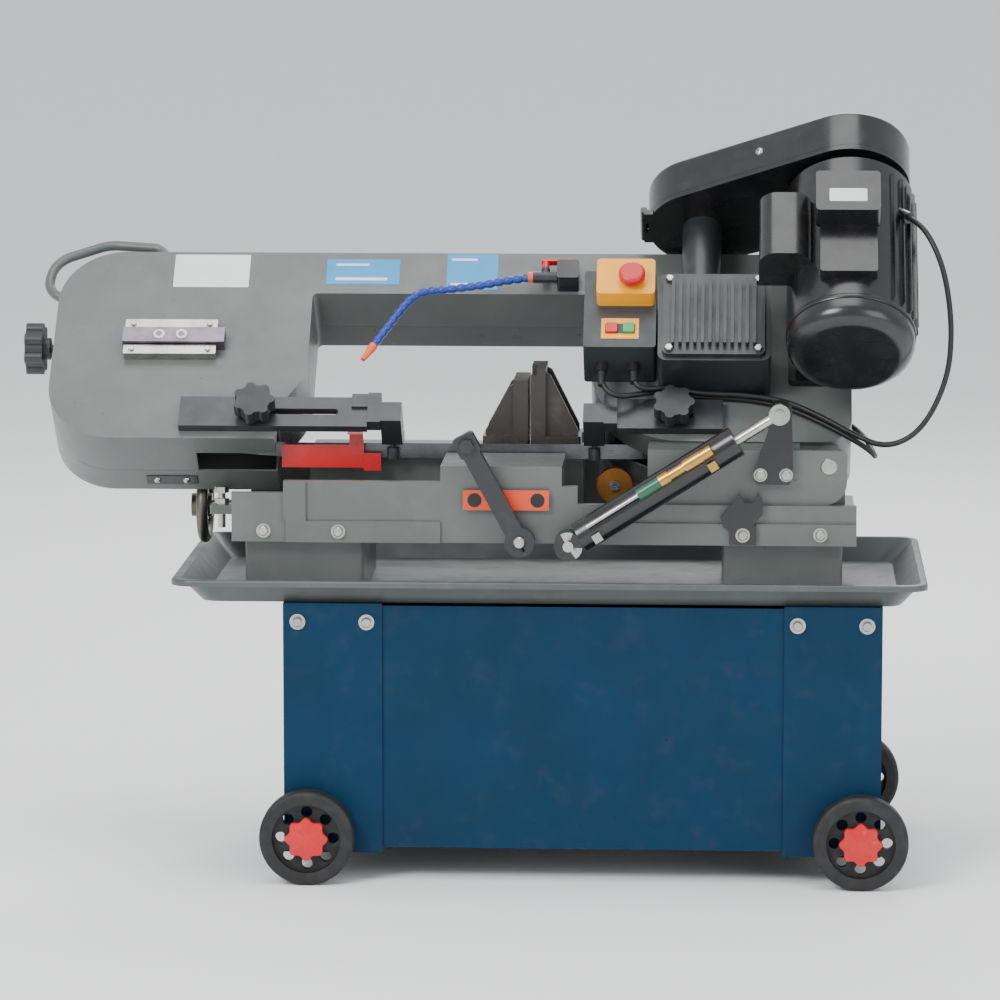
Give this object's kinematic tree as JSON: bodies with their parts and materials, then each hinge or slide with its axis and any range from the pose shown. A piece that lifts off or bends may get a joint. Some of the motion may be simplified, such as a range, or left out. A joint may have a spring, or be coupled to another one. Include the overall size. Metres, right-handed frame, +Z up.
{
  "type": "horizontal band saw",
  "caption": "Free-standing horizontal metal-cutting band saw: tilted bow with two band wheels, worm gearbox and belt drive, vise on a cast bed, chip tray and wheeled sheet stand.",
  "frame": {"origin": "on the floor under the middle of the machine without its cables", "axes": "+X along the saw from the idler wheel to the drive wheel, -Y towards the operator, +Z up"},
  "size_m": [1.2651, 0.4896, 1.0117],
  "materials": {
    "castings": "semi-gloss enamel",
    "cover_grey": "semi-gloss enamel",
    "tray_grey": "semi-gloss enamel",
    "stand_blue": "fine textured powder coat",
    "black_steel": "gloss enamel",
    "guard_red": "gloss enamel",
    "valve_red": "gloss enamel",
    "iron": "machined and oiled",
    "steel": "bright zinc",
    "handle_grey": "semi-gloss enamel",
    "black_knob": "moulded",
    "castor": "moulded",
    "belt": "matt",
    "cable": "matt sheath",
    "hose_blue": "moulded links",
    "button_red": "moulded",
    "button_green": "moulded",
    "bronze": "wire bristles",
    "tank": "moulded"
  },
  "bodies": {
    "root": {"stand_legs": "stand_blue", "stand_panels": "stand_blue", "stand_bolts": "steel", "chip_tray": "tray_grey", "pedestals": "castings", "bed": "castings", "fixed_jaw": "iron", "pivot_pins": "steel", "coolant_tank": "tank", "fork_bracket": "black_steel"},
    "left_wheels": {"left_wheels": "castor"},
    "right_wheels": {"right_wheels": "castor"},
    "movable_jaw": {"movable_jaw": "iron"},
    "vise_screw": {"vise_screw": "steel", "handwheel": "iron"},
    "stop_rod": {"work_stop_rod": "steel"},
    "stop_arm": {"work_stop_arm": "black_steel"},
    "head": {"bow_frame": "castings", "lift_handle": "handle_grey", "saw_blade": "steel", "slide_bars": "steel", "gearbox_housing": "castings", "gearbox_cover": "black_steel", "v_belt": "belt", "belt_cover_base": "black_steel", "motor": "black_steel", "motor_boxes": "black_steel", "motor_mount": "black_steel", "switch_box": "cover_grey", "coolant_block": "black_steel", "coolant_hose": "hose_blue", "motor_cable": "cable", "mains_cord": "cable", "mains_hank": "cable", "plug": "cable", "rod_bracket": "black_steel", "head_bolts": "steel", "rear_cover": "cover_grey"},
    "belt_lid": {"belt_cover_lid": "black_steel"},
    "tension_slide": {"tension_slide": "steel"},
    "tension_knob": {"tension_knob": "black_knob"},
    "idler_wheel": {"idler_wheel": "iron"},
    "drive_wheel": {"drive_wheel": "iron", "drive_shaft": "steel"},
    "worm": {"worm_shaft": "steel"},
    "motor_rotor": {"motor_pulley": "steel"},
    "emergency_stop": {"emergency_stop": "button_red"},
    "start_button": {"start_button": "button_green"},
    "stop_button": {"stop_button": "button_red"},
    "left_arm": {"left_guide_arm": "black_steel", "left_guide_block": "black_steel", "blade_guard": "guard_red"},
    "right_arm": {"right_guide_arm": "black_steel", "right_guide_block": "black_steel"},
    "left_knob": {"left_guide_knob": "black_knob"},
    "right_knob": {"right_guide_knob": "black_knob"},
    "brush": {"wire_brush": "bronze"},
    "valve_lever": {"valve_lever": "valve_red"},
    "cylinder": {"hydraulic_cylinder": "black_steel"},
    "piston": {"piston_rod": "steel"}
  },
  "joints": [
    {"name": "head_swing", "type": "hinge", "parent": "root", "child": "head", "pos_m": [0.484, 0, 0.554], "axis": [0, 1, 0], "range_deg": [0, 60]},
    {"name": "cylinder_swing", "type": "hinge", "parent": "root", "child": "cylinder", "pos_m": [0.1394, -0.185, 0.454], "axis": [0, 1, 0], "range_deg": [-1, 6]},
    {"name": "rod_slide", "type": "slide", "parent": "cylinder", "child": "piston", "axis": [0.845, 0, 0.5348], "range_m": [-0.002, 0.1]},
    {"name": "left_wheels_roll", "type": "hinge", "parent": "root", "child": "left_wheels", "pos_m": [-0.207, 0, 0.0635], "axis": [0, 1, 0], "continuous": true},
    {"name": "right_wheels_roll", "type": "hinge", "parent": "root", "child": "right_wheels", "pos_m": [0.529, 0, 0.0635], "axis": [0, 1, 0], "continuous": true},
    {"name": "handwheel_turn", "type": "hinge", "parent": "root", "child": "vise_screw", "pos_m": [-0.38, 0.075, 0.467], "axis": [1, 0, 0], "range_deg": [0, 16200]},
    {"name": "jaw_slide", "type": "slide", "parent": "root", "child": "movable_jaw", "axis": [-1, 0, 0], "range_m": [0, 0.2252]},
    {"name": "stop_rod_slide", "type": "slide", "parent": "root", "child": "stop_rod", "axis": [0, -1, 0], "range_m": [0, 0.06]},
    {"name": "stop_arm_turn", "type": "hinge", "parent": "stop_rod", "child": "stop_arm", "pos_m": [0.074, -0.175, 0.456], "axis": [0, -1, 0], "range_deg": [-45, 14]},
    {"name": "belt_lid_hinge", "type": "hinge", "parent": "head", "child": "belt_lid", "pos_m": [0.231, 0.14435, 0.85284], "axis": [0, -0.7071, 0.7071], "range_deg": [0, 75]},
    {"name": "tension_knob_turn", "type": "hinge", "parent": "head", "child": "tension_knob", "pos_m": [-0.6, 0.0643, 0.6837], "axis": [1, 0, 0], "range_deg": [-2, 1085]},
    {"name": "tension_travel", "type": "slide", "parent": "head", "child": "tension_slide", "axis": [1, 0, 0], "range_m": [0, 0.006]},
    {"name": "drive_wheel_spin", "type": "hinge", "parent": "head", "child": "drive_wheel", "pos_m": [0.358, 0.094, 0.654], "axis": [0, -0.7071, 0.7071], "continuous": true},
    {"name": "idler_wheel_spin", "type": "hinge", "parent": "tension_slide", "child": "idler_wheel", "pos_m": [-0.4146, 0.094, 0.654], "axis": [0, -0.7071, 0.7071], "continuous": true},
    {"name": "worm_spin", "type": "hinge", "parent": "head", "child": "worm", "pos_m": [0.311, 0.01975, 0.72825], "axis": [0, 0.7071, 0.7071], "continuous": true},
    {"name": "motor_spin", "type": "hinge", "parent": "head", "child": "motor_rotor", "pos_m": [0.512, -0.04176, 0.78976], "axis": [0, 0.7071, 0.7071], "continuous": true},
    {"name": "emergency_press", "type": "slide", "parent": "head", "child": "emergency_stop", "axis": [0, 0.7071, -0.7071], "range_m": [0, 0.005], "stiffness_N_per_m": 900},
    {"name": "start_press", "type": "slide", "parent": "head", "child": "start_button", "axis": [0, 0.7071, -0.7071], "range_m": [0, 0.003], "stiffness_N_per_m": 500},
    {"name": "stop_press", "type": "slide", "parent": "head", "child": "stop_button", "axis": [0, 0.7071, -0.7071], "range_m": [0, 0.003], "stiffness_N_per_m": 500},
    {"name": "left_arm_slide", "type": "slide", "parent": "head", "child": "left_arm", "axis": [1, 0, 0], "range_m": [-0.09, 0]},
    {"name": "right_arm_slide", "type": "slide", "parent": "head", "child": "right_arm", "axis": [1, 0, 0], "range_m": [-0.018, 0]},
    {"name": "left_knob_turn", "type": "hinge", "parent": "head", "child": "left_knob", "pos_m": [-0.291, -0.05308, 0.62006], "axis": [0, -0.7071, 0.7071], "continuous": true},
    {"name": "right_knob_turn", "type": "hinge", "parent": "head", "child": "right_knob", "pos_m": [0.276, -0.05308, 0.62006], "axis": [0, -0.7071, 0.7071], "continuous": true},
    {"name": "brush_spin", "type": "hinge", "parent": "right_arm", "child": "brush", "pos_m": [0.196, -0.005, 0.509], "axis": [0, 1, 0], "continuous": true},
    {"name": "valve_turn", "type": "hinge", "parent": "head", "child": "valve_lever", "pos_m": [0.096, 0.1237, 0.79401], "axis": [0, -0.7071, -0.7071], "range_deg": [0, 90]}
  ],
  "couplings": [
    {"joint": "cylinder_swing", "follows": "head_swing", "ratio": 0.0821},
    {"joint": "rod_slide", "follows": "head_swing", "m_per_rad": 0.09148},
    {"joint": "jaw_slide", "follows": "handwheel_turn", "m_per_rad": 0.00079577},
    {"joint": "tension_knob_turn", "follows": "tension_travel", "rad_per_m": 3141.6},
    {"joint": "idler_wheel_spin", "follows": "drive_wheel_spin", "ratio": 1},
    {"joint": "worm_spin", "follows": "drive_wheel_spin", "ratio": 15},
    {"joint": "motor_spin", "follows": "drive_wheel_spin", "ratio": 25.833}
  ]
}
